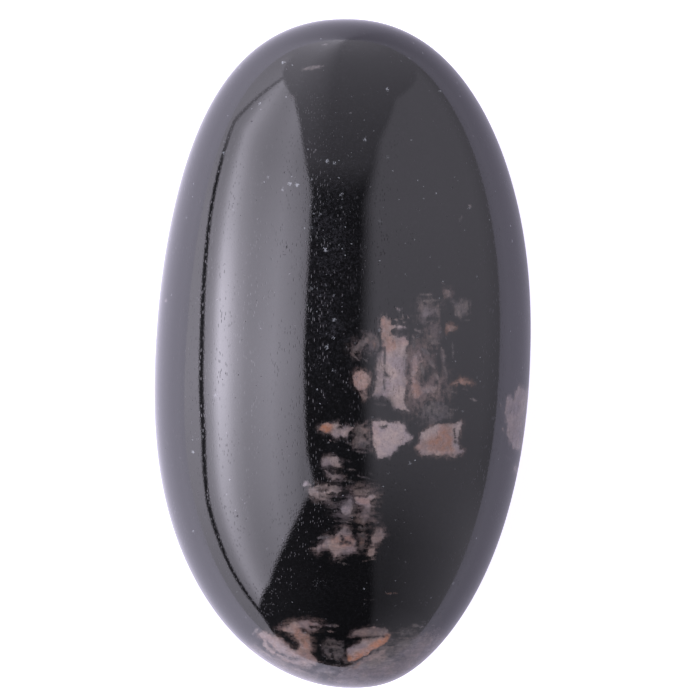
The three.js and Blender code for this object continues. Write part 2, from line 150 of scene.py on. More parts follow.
# Marks on the grains, worn open along their cleavage: kind, both ends in mm on the plan, from
# the frame's origin, width, and strength for the ones that only tint.
# A crack shows the dark rock, a fill is more of the grain, rust is iron stain, a veil is a
# thin skin of dark rock and pale is clean feldspar.
MARKS = {
    "heart_grain": [
        ("veil", 4.35, 0.5, 4.3, -1.2, 0.14, 0.8),
        ("crack", 4.3, -1.6, 4.4, -2.1, 0.05),
        ("veil", 4.25, -2.9, 4.3, -3.8, 0.14, 0.8),
        ("crack", 4.45, -2.35, 4.75, -2.5, 0.14),
        ("crack", 5.2, 2.1, 6, 1.95, 0.22),
        ("crack", 6.62, -1.6, 6.6, -2.7, 0.12),
        ("crack", 6.9, -3.3, 6.8, -3.9, 0.3),
        ("fill", 5, 2.6, 6.6, 2.5, 0.25),
        ("fill", 5.2, 3.35, 5.9, 3.1, 0.16),
        ("fill", 5.5, 4.6, 5.95, 4.2, 0.25),
        ("fill", 6.6, 3.9, 6.75, 3.4, 0.2),
        ("fill", 3.3, -5.3, 4.5, -5.45, 0.4),
        ("veil", 3.3, -5.3, 4.5, -5.45, 0.9, 0.75),
        ("veil", 6.5, -0.2, 6.7, -3.5, 0.5, 0.35),
        ("veil", 4.9, -5, 6.6, -5.9, 0.9, 0.25),
        ("veil", 4.1, 3.7, 4.7, 3.6, 0.5, 0.5),
        ("rust", 4.3, 3, 4.7, 1.2, 0.9, 0.45),
        ("rust", 4.8, 1.4, 6.3, 1.2, 0.8, 0.3),
        ("rust", 5.25, 1.2, 5.3, 0.5, 0.25, 0.6),
        ("veil", 4, 3.1, 5, 1.1, 1.3, 0.36),
        ("rust", 3.9, 2.9, 4.6, 0.9, 1, 0.5),
        ("veil", 3.6, -0.6, 3.5, -4.1, 0.9, 0.4),
    ],
    "column_grain": [
        ("crack", 7.75, -0.3, 8.1, -0.9, 0.12),
        ("crack", 6.75, -0.6, 6.8, -1.3, 0.25),
        ("crack", 6.85, -2.5, 6.8, -2.9, 0.2),
        ("fill", 8.5, -3.8, 9.8, -3.6, 0.5),
        ("rust", 7.3, -3.2, 7.5, -4.4, 0.8, 0.55),
        ("rust", 7.4, -1.5, 7.3, -2.8, 0.6, 0.35),
        ("veil", 8.4, -3.8, 9.9, -3.5, 1, 0.45),
    ],
    "side_grain": [
        ("fill", 1.9, -3.6, 2.25, -4.6, 0.75),
        ("fill", 2.5, -2.2, 2.85, -3.15, 0.5),
        ("crack", 1.85, -4, 1.95, -4.15, 0.18),
        ("rust", 1.6, -2.6, 2, -3.3, 1.3, 0.4),
        ("veil", 2.3, -4.3, 2.4, -4.8, 0.7, 0.5),
        ("veil", 2.9, -2.2, 2.9, -3, 0.5, 0.35),
    ],
    "arch_grain": [
        ("rust", 3.3, 1, 3.2, 0.4, 0.6, 0.7),
        ("fill", 2.5, 1.5, 3.2, 1.3, 0.5),
    ],
    "band_left_grain": [
        ("rust", -1.9, -7.75, -1.6, -7.75, 0.6, 1),
        ("crack", -0.35, -7.65, -0.1, -7.65, 0.2),
        ("crack", 0.75, -8.4, 0.95, -8.1, 0.22),
        ("fill", 0.6, -7.9, 1.1, -7.7, 0.35),
        ("fill", -1.3, -9.1, -1.2, -9, 0.25),
    ],
    "band_middle_grain": [
        ("crack", 2.45, -9.75, 2.75, -9.55, 0.38),
        ("crack", 2.3, -7.5, 2.55, -7.6, 0.14),
        ("crack", 2.3, -8.6, 2.7, -8.9, 0.14),
        ("fill", 2.75, -7.3, 2.85, -9.2, 0.5),
        ("rust", 2.6, -7.5, 2.7, -8.5, 0.7, 0.35),
        ("fill", 2.4, -9.35, 2.6, -9.4, 0.2),
    ],
    "band_heart_grain": [
        ("crack", 3.9, -7.6, 4.5, -7.65, 0.05),
        ("rust", 3.3, -7.4, 3.4, -9.4, 0.6, 0.15),
        ("crack", 2.95, -9.5, 3.3, -9.95, 0.3),
        ("fill", 4.8, -7, 5.8, -7.15, 0.2),
    ],
    "band_rust_grain": [
        ("crack", 11.5, -8, 11.6, -8.75, 0.14),
        ("crack", 11.6, -9.15, 11.62, -9.3, 0.14),
        ("rust", 9.9, -9.4, 10.3, -10.1, 1.5, 0.8),
        ("rust", 10.3, -8, 10.7, -9, 0.9, 0.8),
        ("pale", 11.9, -7.3, 11.85, -9.6, 0.5, 0.8),
        ("pale", 8.3, -8.3, 9.3, -7.8, 0.8, 0.7),
        ("pale", 8.2, -10.4, 12.2, -10.5, 0.35, 0.5),
    ],
    "step_upper_grain": [
        ("crack", -0.35, -11.2, 0.05, -11.25, 0.26),
    ],
    "step_lower_grain": [
        ("crack", -0.8, -13.2, -0.4, -13.15, 0.3),
    ],
    "kink_grain": [
        ("crack", -2.35, -14.05, -1.5, -14.1, 0.2),
        ("crack", -1.6, -14.6, -0.4, -14.62, 0.16),
        ("fill", -3.9, -13.3, -3.3, -13.6, 0.6),
        ("fill", -3.3, -13.9, -3, -14.9, 0.35),
        ("veil", -2.9, -14.5, -1.3, -15.3, 0.8, 0.4),
        ("crack", -2.2, -14.75, -1.3, -15, 0.1),
    ],
    "ladder_grain": [
        ("crack", 1, -14.5, 3.3, -14.45, 0.1),
        ("crack", 1.2, -14.75, 2.6, -14.72, 0.16),
        ("crack", 1.3, -15.95, 2.1, -15.9, 0.28),
        ("crack", 1.3, -16.45, 1.75, -16.4, 0.3),
        ("pale", 1.4, -15.2, 2.9, -15.2, 0.7, 0.75),
        ("rust", 1.8, -15.1, 2.6, -15.3, 0.5, 0.3),
        ("fill", 2.9, -16.2, 3.3, -16.15, 0.16),
        ("fill", 3.2, -16.7, 4.1, -16.8, 0.1),
    ],
    "ladder_side_grain": [
        ("pale", 0.2, -16.2, 0.8, -16.3, 0.7, 0.5),
        ("fill", 0.2, -17.2, 0.8, -17.3, 0.2),
    ],
    "star_grain": [
        ("crack", -0.12, -18.93, -0.05, -18.95, 0.2),
        ("crack", 0, -19.25, 0.1, -19.3, 0.2),
        ("crack", -0.2, -19.62, -0.1, -19.68, 0.2),
        ("crack", 0.35, -19.5, 0.45, -19.55, 0.18),
        ("crack", 0.7, -19.6, 0.85, -19.6, 0.14),
        ("crack", -2.15, -20.3, -1.3, -20.65, 0.26),
        ("veil", -2.8, -20.1, -1.8, -20, 0.7, 0.4),
        ("veil", -0.6, -18.4, 0.8, -18.6, 0.8, 0.45),
        ("veil", -1.9, -19, -1, -19, 0.4, 0.6),
        ("rust", -0.6, -19.5, 0.9, -19.4, 0.7, 0.45),
        ("rust", -0.6, -20.4, 0.9, -20.2, 0.8, 0.2),
    ],
    "star_side_grain": [
        ("crack", 1.35, -18.7, 1.4, -19.2, 0.3),
        ("rust", 1.6, -19.2, 1.9, -19.4, 0.5, 0.5),
    ],
    "leaf_grain": [
        ("rust", 4.15, -18, 4.1, -18.5, 0.5, 0.4),
        ("rust", 3.4, -18.6, 3.3, -19.4, 0.7, 0.2),
        ("crack", 2.75, -20, 3.4, -20.02, 0.12),
        ("fill", 2.1, -21.5, 3.4, -21.25, 0.22),
        ("veil", 2.1, -21.5, 3.4, -21.25, 0.5, 0.5),
    ],
    "toe_left_grain": [
        ("crack", -4.2, -28.6, -3.3, -29.05, 0.3),
        ("crack", -3.3, -28.4, -2.3, -28.45, 0.25),
        ("crack", -5.1, -29.3, -4.7, -30.4, 0.3),
        ("crack", -7.8, -30.1, -7.2, -30.9, 0.12),
        ("crack", -5.5, -31.7, -4.8, -31.9, 0.15),
        ("crack", -6.8, -31.2, -5.8, -31.6, 0.1),
        ("rust", -4.4, -29.2, -3.4, -30.2, 0.9, 0.6),
        ("rust", -4.6, -30.9, -3.4, -31.4, 1, 0.4),
        ("rust", -6.6, -30.4, -5.6, -31, 0.8, 0.2),
        ("fill", -2.2, -28.1, -1.2, -28.35, 0.3),
        ("fill", -1.6, -28.8, -0.7, -28.9, 0.25),
        ("veil", -2.2, -28.2, -0.8, -28.9, 0.9, 0.5),
        ("veil", -6.6, -28.5, -5.6, -28.5, 0.6, 0.4),
    ],
    "toe_middle_grain": [
        ("crack", -1.2, -30.8, -1, -31.6, 0.12),
        ("crack", -2, -30.2, -0.2, -30.3, 0.15),
    ],
    "toe_rust_grain": [
        ("crack", 2, -29.5, 5, -29.35, 0.1),
        ("pale", 0.8, -32, 4.7, -29.6, 0.5, 0.9),
        ("rust", 0.8, -32, 4.7, -29.6, 0.5, 1),
        ("rust", 0.7, -31.8, 1.2, -32.2, 0.6, 0.9),
        ("rust", 1, -29.2, 4.6, -28.9, 0.6, 0.15),
        ("veil", 1, -29.1, 2.6, -28.8, 0.7, 0.55),
        ("pale", 0.8, -30.8, 2.2, -30.4, 0.6, 0.6),
    ],
    "toe_rim_grain": [
        ("rust", 3, -31.8, 4.4, -31.3, 0.8, 0.25),
        ("veil", 5, -31.2, 6.2, -31.9, 0.8, 0.8),
        ("crack", 2.7, -32.2, 3.5, -32.2, 0.14),
        ("crack", 5, -30.9, 6.2, -31.4, 0.3),
        ("fill", -0.5, -33.8, 0.4, -33.2, 0.8),
    ],
}

# Streaks of pale mineral just under the rock's surface, between the grains:
# both ends in mm on the plan, the width, and how much the rock hides and how rusty it is.
STREAKS = [
    (8, 5.9, 9.2, 5.9, 0.25, 0.78, 0.1),
    (8.3, 5.25, 10, 5.35, 0.3, 0.82, 0.1),
    (8.1, 4.75, 9, 4.8, 0.22, 0.72, 0.2),
    (9.3, 4.45, 10.1, 4.4, 0.2, 0.82, 0.1),
    (8.2, 3, 9.3, 3.2, 0.2, 0.85, 0.2),
    (9.2, 2.2, 9.5, 1.6, 0.4, 0.75, 0.3),
    (10.2, 7.1, 10.6, 6.9, 0.25, 0.8, 0.2),
    (12.2, 3.2, 13.1, 3.3, 0.2, 0.85, 0),
    (5.7, 4.7, 5.9, 3.6, 0.22, 0.8, 0.1),
    (6.15, 4.5, 6.2, 3.2, 0.18, 0.8, 0.1),
    (5.4, 3.4, 6.4, 3.4, 0.14, 0.7, 0.2),
    (5.3, 3.02, 6.7, 3.1, 0.12, 0.75, 0.1),
    (6.3, 3.9, 7, 3.7, 0.12, 0.85, 0),
    (7.2, 1.7, 7.4, 0.2, 0.45, 0.86, 0.1),
    (8.9, 1.25, 9.9, 0.9, 0.7, 0.84, 0.2),
    (8.1, 0.3, 8.9, -0.2, 0.6, 0.86, 0.1),
    (8.9, -0.8, 9.4, -1.6, 0.6, 0.86, 0.2),
    (8, -1.2, 8.4, -2.4, 0.5, 0.86, 0.1),
    (10.2, 0.4, 10.5, -1.2, 0.55, 0.76, 0.2),
    (10.4, -1.3, 10.8, -2.6, 0.4, 0.8, 0.2),
    (9.4, -2.2, 9.9, -2.9, 0.5, 0.82, 0.2),
    (11.3, 1, 11.4, -0.6, 0.3, 0.88, 0),
    (7.4, 2.3, 8.2, 2, 0.4, 0.88, 0.1),
    (10.5, -3.9, 12, -4.25, 0.22, 0.82, 0.1),
    (12.5, -3.8, 13, -3.95, 0.28, 0.7, 0.1),
    (13.2, -4.8, 13.8, -5, 0.35, 0.72, 0),
    (11, -5.9, 11.9, -5.9, 0.25, 0.78, 0.1),
    (8.4, -5.2, 10.8, -5.6, 0.18, 0.86, 0),
    (9, -6.95, 10.6, -6.7, 0.2, 0.86, 0),
    (10.6, -6.2, 11.3, -6.4, 0.2, 0.86, 0),
    (1, -0.3, 1.8, -0.9, 0.3, 0.86, 0),
    (2, -0.6, 2.9, -1.2, 0.25, 0.86, 0),
    (2.6, 0, 3.1, -0.45, 0.25, 0.8, 0.2),
    (0.5, -8.3, 1.2, -8.6, 0.4, 0.8, 0.1),
    (1.2, -10.1, 2.8, -10.35, 0.3, 0.86, 0.1),
    (0.4, -9.2, 1.1, -9.5, 0.3, 0.88, 0),
    (-0.9, -9.1, -0.5, -9.3, 0.25, 0.8, 0),
    (1.5, -12.6, 3.2, -13.1, 0.32, 0.8, 0),
    (2.7, -12.35, 3.2, -12.6, 0.3, 0.76, 0),
    (0.6, -13.2, 1.3, -13.4, 0.35, 0.86, 0),
    (1.6, -13.5, 3.2, -13.45, 0.2, 0.86, 0.1),
    (0.4, -11.1, 1, -11.3, 0.3, 0.88, 0),
    (0.5, -12, 1.4, -12.1, 0.25, 0.88, 0),
    (-0.8, -17.3, 0.9, -17.5, 0.28, 0.82, 0.1),
    (2, -18.1, 2.7, -18, 0.4, 0.86, 0),
    (-2.5, -19.1, -1.3, -18.95, 0.4, 0.76, 0),
    (3, -15.75, 3.6, -15.95, 0.13, 0.8, 0),
    (3.1, -16.7, 4.1, -16.8, 0.1, 0.8, 0),
    (-0.5, -21.6, 0.8, -21.9, 0.18, 0.88, 0),
    (-3.4, -14.9, -2.6, -15.6, 0.3, 0.84, 0),
    (1.6, -17.9, 2.2, -18.2, 0.3, 0.86, 0),
    (2.1, -21.5, 3.4, -21.3, 0.22, 0.72, 0.2),
    (2, -25.5, 3.8, -25.55, 0.1, 0.8, 0),
    (4.4, -24.85, 5.7, -24.9, 0.12, 0.6, 0.7),
    (-8, -30.4, -3.4, -32.6, 1.3, 0.5, 0.2),
    (-3, -33, -0.6, -33.2, 0.8, 0.8, 0),
    (-9.3, -29.3, -8.7, -28.6, 0.4, 0.75, 0.1),
    (1.4, -32.5, 5.2, -30.7, 0.8, 0.55, 0.25),
    (5.6, -30.4, 8, -30, 0.8, 0.8, 0),
    (7.2, -28.2, 8.6, -28.6, 0.4, 0.84, 0),
    (-1.9, -28.2, -0.4, -28.3, 0.35, 0.75, 0.1),
    (-0.6, -33.9, 1.4, -33.2, 0.6, 0.6, 0),
    (-2.65, 29.5, -2.9, 29.3, 0.3, 0.7, 0),
    (-4.2, 29.2, -2, 29.6, 0.5, 0.84, 0),
    (13, 15.2, 13.3, 14.9, 0.3, 0.7, 0),
    (12.3, 14, 12, 13.3, 0.35, 0.88, 0),
    (-18.3, 5.5, -18.35, 5.2, 0.35, 0.6, 0),
    (-3.6, -13.3, -3.9, -13.6, 0.6, 0.15, 0),
    (-3.4, -14, -3.1, -14.9, 0.35, 0.4, 0),
    (-4.9, 26.1, -5.3, 26.5, 0.2, 0.8, 0),
    (-2.3, 31.8, -1.6, 31.9, 0.3, 0.82, 0),
    (-6.4, 30.2, -5.8, 30.5, 0.22, 0.8, 0),
    (17, -10.8, 17.5, -11.3, 0.3, 0.8, 0),
    (16.3, -5.2, 16.6, -6, 0.3, 0.84, 0.1),
    (16.6, -7.9, 16.8, -8.6, 0.25, 0.75, 0.3),
]
STREAK_SPREAD = 1.15  # how much wider a streak shows than it is drawn
STREAK_CLEARNESS = 0.84  # how much of its veil a streak keeps
BLEND = 0.3  # distance over which one mark's tint passes into the next

# ---- Geometry helpers ----


def signed_power(value, power):
    return np.sign(value) * np.abs(value) ** power


def unit_rows(rows):
    return rows / np.maximum(np.linalg.norm(rows, axis=1), 1e-12)[:, None]


HALF_HEIGHT = 1 / (1 + math.sin(math.acos(FLAT_SHARE)))  # as a share of the thickness
CAD_LOW, CAD_HIGH = (np.array(corner) / MM for corner in CAD_BOX)
UPPER = CAD_LOW[2] + UPPER_SHARE * (CAD_HIGH[2] - CAD_LOW[2])
SKEW = (0.3, 0.5, 0.81)  # a direction that the stone's normals are set out from
NOISE_STEP = (7.31, 3.17, 5.77)  # how far apart the noise of two seeds lies


def raw_stone(unit):
    """The stone before it is fitted to the CAD box, for directions from its middle."""
    size = np.array([(CAD_BOX[1][i] - CAD_BOX[0][i]) / MM for i in range(3)])
    radius = np.hypot(unit[:, 0], unit[:, 1])
    angle = np.arctan2(unit[:, 1], unit[:, 0])
    power = 2 / (2 + PLAN_SQUARENESS * radius**2)
    swell = 1 + SHOULDER_SWELL * radius**2 * np.cos(SHOULDERS * angle + SHOULDER_TURN)
    across = radius * swell * signed_power(np.cos(angle), power)
    along = radius * swell * signed_power(np.sin(angle), power)
    toe = np.where(along < 0, TOE_SHIFT * np.minimum(1, np.abs(along)) ** TOE_SHARPNESS, 0)
    x = across * size[0] / 2 + SWAY * np.sin(np.pi * along) + toe
    y = along * size[1] / 2
    z = size[2] * (1 - HALF_HEIGHT + unit[:, 2] * HALF_HEIGHT)
    z = 0.5 * (z + np.sqrt(z * z + FOOT_BLEND**2))
    return np.stack([x, y, z], axis=1)


def fit_to_cad(points):
    """The scale and offset that bring a sampled stone exactly into the CAD box."""
    low, high = points.min(0), points.max(0)
    scale = (CAD_HIGH - CAD_LOW) / (high - low)
    return scale, CAD_LOW - low * scale


def stone_points(unit):
    return raw_stone(unit) * FIT[0] + FIT[1]


def stone_normals(unit):
    """Which way the surface faces, from its slopes in two directions."""
    step = 1e-3
    first = unit_rows(np.cross(unit, SKEW))
    second = np.cross(unit, first)
    slopes = [
        stone_points(unit_rows(unit + step * side)) - stone_points(unit_rows(unit - step * side))
        for side in (first, second)
    ]
    normal = unit_rows(np.cross(*slopes))
    return normal * np.sign((normal * unit).sum(1))[:, None]


def smooth_noise(points, frequency, seed):
    shift = Vector([seed * step for step in NOISE_STEP])
    return np.array([noise.noise(Vector(p) * frequency + shift) for p in points.tolist()])


def segment_distance(points, start, end):
    """Distance to a segment, and how far along it the nearest point is, from 0 to 1."""
    span = end - start
    along = np.clip((points - start) @ span / max(float(span @ span), 1e-12), 0, 1)
    return np.linalg.norm(points - start - along[:, None] * span, axis=1), along


def taper(along):
    """A stroke's width along its length: full in the middle, and half at the ends."""
    return 1 - 0.5 * (2 * along - 1) ** 2


def edge_table(faces):
    """Every edge once, and each face's three edges by number."""
    pairs = np.sort(faces[:, [0, 1, 1, 2, 2, 0]].reshape(-1, 2), axis=1)
    edges, numbers = np.unique(pairs, axis=0, return_inverse=True)
    return edges, numbers.reshape(-1, 3)


def refine(unit, faces, marked):
    """Splits the marked edges in the middle, leaving no gaps, and says each face's parent."""
    edges, of_face = edge_table(faces)
    marked = marked.copy()
    while True:
        busy = marked[of_face].sum(1) == 2
        if not busy.any():
            break
        marked[of_face[busy].ravel()] = True
    middle = np.full(len(edges), -1)
    middle[marked] = len(unit) + np.arange(marked.sum())
    unit = np.concatenate([unit, unit_rows(unit[edges[marked]].sum(1))])
    hits = marked[of_face]
    kept = np.flatnonzero(hits.sum(1) == 0)
    whole = np.flatnonzero(hits.all(1))
    single = np.flatnonzero(hits.sum(1) == 1)
    a, b, c = faces[whole].T
    ab, bc, ca = middle[of_face[whole]].T
    quarters = [(a, ab, ca), (ab, b, bc), (ca, bc, c), (ab, bc, ca)]
    turn = hits[single].argmax(1)
    p, q, r = (faces[single, (turn + i) % 3] for i in range(3))
    m = middle[of_face[single, turn]]
    halves = [(p, m, r), (m, q, r)]
    new_faces = [faces[kept]] + [np.stack(t, 1) for t in quarters + halves]
    parents = [kept] + [whole] * 4 + [single] * 2
    return unit, np.concatenate(new_faces), np.concatenate(parents)


# ---- Fields over the surface: where the grains are ----


class Grain:
    """One mineral grain's outline on the surface, taken from its CAD solid."""

    def __init__(self, node, slot, surface):
        self.node, self.slot = node, slot
        mesh = frame["nodes"][node].data
        points = np.array([v.co for v in mesh.vertices]) / MM
        points, same = np.unique(np.round(points, 4), axis=0, return_inverse=True)
        mesh.calc_loop_triangles()
        faces = np.array([t.vertices for t in mesh.loop_triangles])
        faces = same.ravel()[faces]
        near = np.array([surface.find_nearest(Vector(p))[3] < SURFACE_REACH for p in points])
        outer = faces[near[faces].all(1)]
        edges, of_face = edge_table(outer)
        rim = edges[np.bincount(of_face.ravel(), minlength=len(edges)) == 1]
        self.rim = points[rim]
        self.skin = BVHTree.FromPolygons(points.tolist(), outer.tolist())
        self.outer_low, self.outer_high = points[outer].min((0, 1)), points[outer].max((0, 1))

    def distance(self, points):
        """Signed distance along the surface to the rim, negative inside the grain."""
        result = np.full(len(points), FIELD_REACH)
        near = ((points > self.outer_low - FIELD_REACH) & (points < self.outer_high + FIELD_REACH))
        near = np.flatnonzero(near.all(1))
        local = points[near]
        rim = np.full(len(near), FIELD_REACH)
        for start, end in self.rim:
            rim = np.minimum(rim, segment_distance(local, start, end)[0])
        for i, p, d in zip(near, local.tolist(), rim):
            skin = self.skin.find_nearest(Vector(p))[3]
            result[i] = -d if skin < INSIDE * d - 1e-4 else d
        return result


def measure(points, grains):
    """The rim distance that shapes the pieces, the one that the eye sees, tints and owner."""
    each = np.stack([g.distance(points) for g in grains])
    owner = each.argmin(0)
    shape = each.min(0)
    near = np.flatnonzero(shape < FIELD_REACH)
    for seed, (frequency, depth) in enumerate(RAGGED):
        shape[near] += depth * smooth_noise(points[near], frequency, seed + 1) * 2
    seen = shape.copy()
    looks = np.array([LOOKS[g.node] for g in grains])
    rust, veil = looks[owner].T.copy()
    upper = points[:, 2] > UPPER
    plan = points[:, :2]

    def add_fill(away, half, stain, hidden):
        nonlocal seen, rust, veil
        mark = away - half
        share = np.clip(0.5 + (seen - mark) / BLEND, 0, 1)
        seen = np.minimum(seen, mark)
        rust = rust + share * (stain - rust)
        veil = veil + share * (hidden - veil)

    for x1, y1, x2, y2, width, hidden, stain in STREAKS:
        away, along = segment_distance(plan, np.array((x1, y1)), np.array((x2, y2)))
        half = width / 2 * STREAK_SPREAD * taper(along)
        add_fill(np.where(upper, away, FIELD_REACH), half, stain, hidden * STREAK_CLEARNESS)
    for grain in grains:
        for kind, x1, y1, x2, y2, width, *strength in MARKS.get(grain.node, []):
            away, along = segment_distance(plan, np.array((x1, y1)), np.array((x2, y2)))
            half = width / 2 * taper(along)
            away = np.where(upper, away, FIELD_REACH)
            if kind == "crack":
                seen = np.maximum(seen, half * CRACK_SHARE - away)
            elif kind == "fill":
                add_fill(away, half, *LOOKS[grain.node])
            else:
                share = strength[0] * np.clip(TINT_REACH - away / width, 0, 1)
                if kind == "rust":
                    rust = np.maximum(rust, share)
                elif kind == "veil":
                    veil = np.maximum(veil, share)
                else:
                    rust, veil = rust * (1 - share), veil * (1 - share)
    return shape, seen, rust, veil, owner


def measure_halos(points, grains):
    """How strongly feldspar just under the skin shows round each grain, and its iron stain."""
    each = np.stack([g.distance(points) for g in grains])
    reach, strength = np.array([HALOS.get(g.node, HALO) for g in grains]).T[:, :, None]
    halo = strength * np.exp(-((np.maximum(each, 0) / reach) ** 1.5)) * (each < FIELD_REACH)
    nearest = halo.argmax(0)
    stain = np.array([LOOKS[g.node][0] for g in grains])
    return halo.max(0), stain[nearest]


# ---- The surface mesh, finest along the rims and cracks ----


def sphere():
    """Evenly spread directions, and the triangles between them."""
    ball = bmesh.new()
    bmesh.ops.create_icosphere(ball, subdivisions=SPHERE_SPLITS, radius=1.0)
    unit = np.array([v.co for v in ball.verts])
    faces = np.array([[v.index for v in f.verts] for f in ball.faces])
    ball.free()
    return unit_rows(unit), faces


unit, faces = sphere()
FIT = fit_to_cad(raw_stone(unit))
surface = BVHTree.FromPolygons(stone_points(unit).tolist(), faces.tolist())
HOST = "stone_body"
SLOTS = {part["node"]: part["material_slot"] for part in frame["record"]["subparts"]}
grains = [Grain(node, slot, surface) for node, slot in SLOTS.items() if node != HOST]
shape, seen, rust, veil, owner = measure(stone_points(unit), grains)

for band, longest in REFINE:
    edges, _ = edge_table(faces)
    points = stone_points(unit)
    length = np.linalg.norm(points[edges[:, 0]] - points[edges[:, 1]], axis=1)
    near = np.minimum(np.abs(shape), np.abs(seen))[edges].min(1) < band
    unit, faces, _ = refine(unit, faces, near & (length > longest))
    shape, seen, rust, veil, owner = measure(stone_points(unit), grains)


def cut_along_rims(unit, faces, values):
    """Puts a vertex wherever an edge crosses a grain's rim, so that the rim is a line of edges."""
    edges, of_face = edge_table(faces)
    first, second = values[edges].T
    crossing = first * second < 0
    share = np.where(crossing, first / np.where(crossing, first - second, 1), 0.5)
    values = values.copy()
    values[edges[crossing & (share < SNAP), 0]] = 0
    values[edges[crossing & (share > 1 - SNAP), 1]] = 0
    first, second = values[edges].T
    cut = np.flatnonzero(first * second < 0)
    share = (first / np.where(first == second, 1, first - second))[cut, None]
    added = unit_rows(unit[edges[cut, 0]] * (1 - share) + unit[edges[cut, 1]] * share)
    number = np.full(len(edges), -1)
    number[cut] = len(unit) + np.arange(len(cut))
    result = []
    middles = number[of_face]
    for (a, b, c), (ab, bc, ca) in zip(faces.tolist(), middles.tolist()):
        hits = (ab >= 0) + (bc >= 0) + (ca >= 0)
        if hits == 0:
            result.append((a, b, c))
            continue
        while not (ab >= 0 and (hits == 1 or ca >= 0)):
            a, b, c, ab, bc, ca = b, c, a, bc, ca, ab
        if hits == 1:
            result += [(a, ab, c), (ab, b, c)]
        else:
            result += [(a, ab, ca), (ab, b, c), (ab, c, ca)]
    unit = np.concatenate([unit, added])
    return unit, np.array(result), np.concatenate([values, np.zeros(len(cut))])


unit, faces, rim_side = cut_along_rims(unit, faces, shape)
shape, seen, rust, veil, owner = measure(stone_points(unit), grains)
lowest = faces[np.arange(len(faces)), rim_side[faces].argmin(1)]
label = np.where(rim_side[lowest] < 0, owner[lowest], -1)


def islands(faces, label):
    """Numbers the connected patches of faces that have the same label."""
    edges, of_face = edge_table(faces)
    order = np.argsort(of_face.ravel(), kind="stable")
    pairs = order.reshape(-1, 2) // 3
    pairs = pairs[label[pairs[:, 0]] == label[pairs[:, 1]]]
    neighbours = [[] for _ in faces]
    for a, b in pairs.tolist():
        neighbours[a].append(b)
        neighbours[b].append(a)
    patch = np.full(len(faces), -1)
    count = 0
    for seed in range(len(faces)):
        if patch[seed] >= 0:
            continue
        patch[seed] = count
        todo = [seed]
        while todo:
            for other in neighbours[todo.pop()]:
                if patch[other] < 0:
                    patch[other] = count
                    todo.append(other)
        count += 1
    return patch


# Loose crumbs beside a grain go to the rock, and holes in a grain go to the grain.
patch = islands(faces, label)
for index in range(len(grains)):
    mine = np.flatnonzero(label == index)
    main = np.bincount(patch[mine]).argmax()
    label[mine[patch[mine] != main]] = -1
patch = islands(faces, label)
host_patch = np.bincount(patch[label == -1]).argmax()
holes = np.flatnonzero((label == -1) & (patch != host_patch))
label[holes] = owner[faces[holes, 0]]


def on_rim(faces, label, count):
    """Which of the corners join faces with different labels."""
    low, high = np.full(count, label.max()), np.full(count, label.min())
    for corner in faces.T:
        np.minimum.at(low, corner, label)
        np.maximum.at(high, corner, label)
    return low != high


# An edge inside a grain that joins two rim corners gets a middle, so that the grain has depth.
for _ in range(CHORD_PASSES):
    edges, of_face = edge_table(faces)
    rim = on_rim(faces, label, len(unit))
    order = np.argsort(of_face.ravel(), kind="stable").reshape(-1, 2) // 3
    inside = (label[order[:, 0]] == label[order[:, 1]]) & (label[order[:, 0]] >= 0)
    chords = inside & rim[edges].all(1)
    if not chords.any():
        break
    unit, faces, parents = refine(unit, faces, chords)
    label = label[parents]

points = stone_points(unit)
shape, seen, rust, veil, owner = measure(points, grains)
normals = stone_normals(unit)
waves = smooth_noise(points, 1 / WAVE_LENGTH, WAVE_SEED) - 1
points = points + normals * WAVE_DEPTH * waves[:, None]
rim = on_rim(faces, label, len(unit))
depth = POCKET_DEPTH * (1 - np.exp(-np.maximum(-shape, POCKET_LEAST) / POCKET_SLOPE))
depth[rim] = 0
spread = (points[:, :2] - DUST_MIDDLE) / DUST_SIZE
dust = np.exp(-(spread**2).sum(1)) * (points[:, 2] > UPPER)
clumps = DUST_CLUMPS[1] * smooth_noise(points, DUST_CLUMPS[0], DUST_SEED)
dust = np.clip(dust * (1 + clumps), 0, 1)
haze, blush = measure_halos(points, grains)
fields = {"rim": seen, "rust": rust, "veil": veil, "dust": dust, "haze": haze, "blush": blush}

# ---- Helpers for pieces and shader nodes ----


def add_piece(name, points, faces, normals, fields, slot, node):
    """A piece in the CAD's place, with its fields as vertex values for the material."""
    mesh = bpy.data.meshes.new(name)
    mesh.from_pydata((points * MM).tolist(), [], faces.tolist())
    mesh.polygons.foreach_set("use_smooth", np.ones(len(faces), bool))
    for field, values in fields.items():
        layer = mesh.attributes.new(field, "FLOAT", "POINT")
        layer.data.foreach_set("value", np.asarray(values, np.float32))
    mesh.normals_split_custom_set_from_vertices(normals.tolist())
    piece = bpy.data.objects.new(name, mesh)
    bpy.context.scene.collection.objects.link(piece)
    mesh.materials.append(MATERIALS[slot])
    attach(piece, "root")
    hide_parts(node)
    return piece


